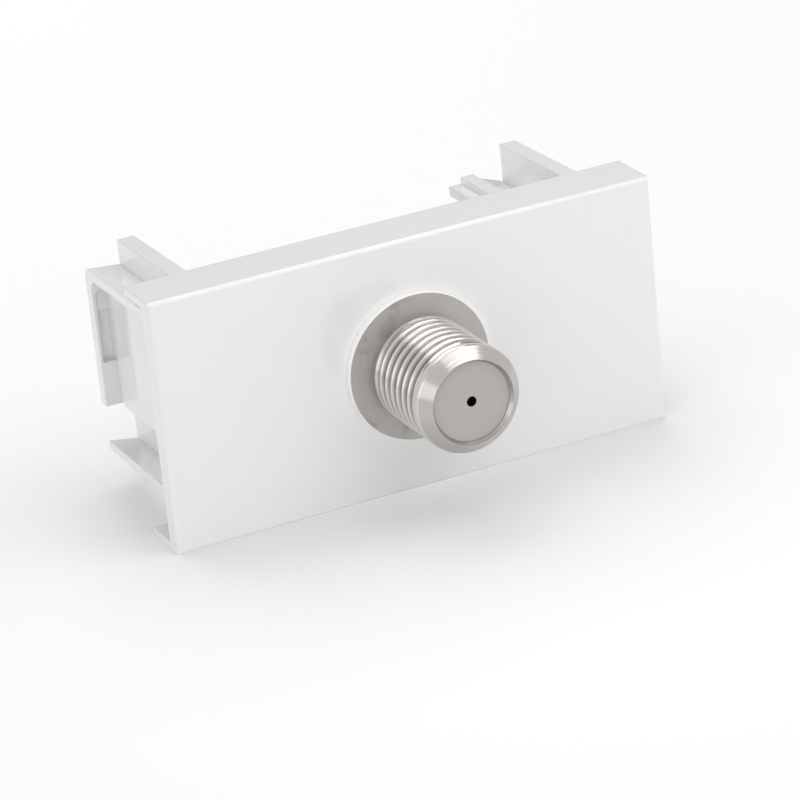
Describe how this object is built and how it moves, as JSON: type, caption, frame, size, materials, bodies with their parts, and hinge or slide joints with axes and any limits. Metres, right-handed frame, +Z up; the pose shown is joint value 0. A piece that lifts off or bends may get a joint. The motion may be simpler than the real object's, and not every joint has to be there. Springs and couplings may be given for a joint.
{
  "type": "tv antenna socket module",
  "caption": "White moulded insert for a modular wall plate, with a threaded coaxial television socket through its face and snap catches on its end walls.",
  "frame": {"origin": "where the jack's axis crosses the front plane of the face plate", "axes": "+X along the long side of the face, +Y back into the wall along the jack's axis, +Z up"},
  "size_m": [0.047, 0.0296, 0.0228],
  "materials": {
    "white_plastic": "gloss",
    "nickel_plate": "bright nickel plate on turned brass",
    "insulator_plastic": "smooth moulded",
    "contact_brass": "plated spring brass",
    "washer_steel": "zinc plated"
  },
  "bodies": {
    "root": {"module_frame": "white_plastic", "jack_body": "nickel_plate", "front_insulator": "insulator_plastic", "rear_insulator": "insulator_plastic", "centre_contact": "contact_brass", "lock_washer": "washer_steel", "hex_nut": "nickel_plate"}
  },
  "joints": []
}
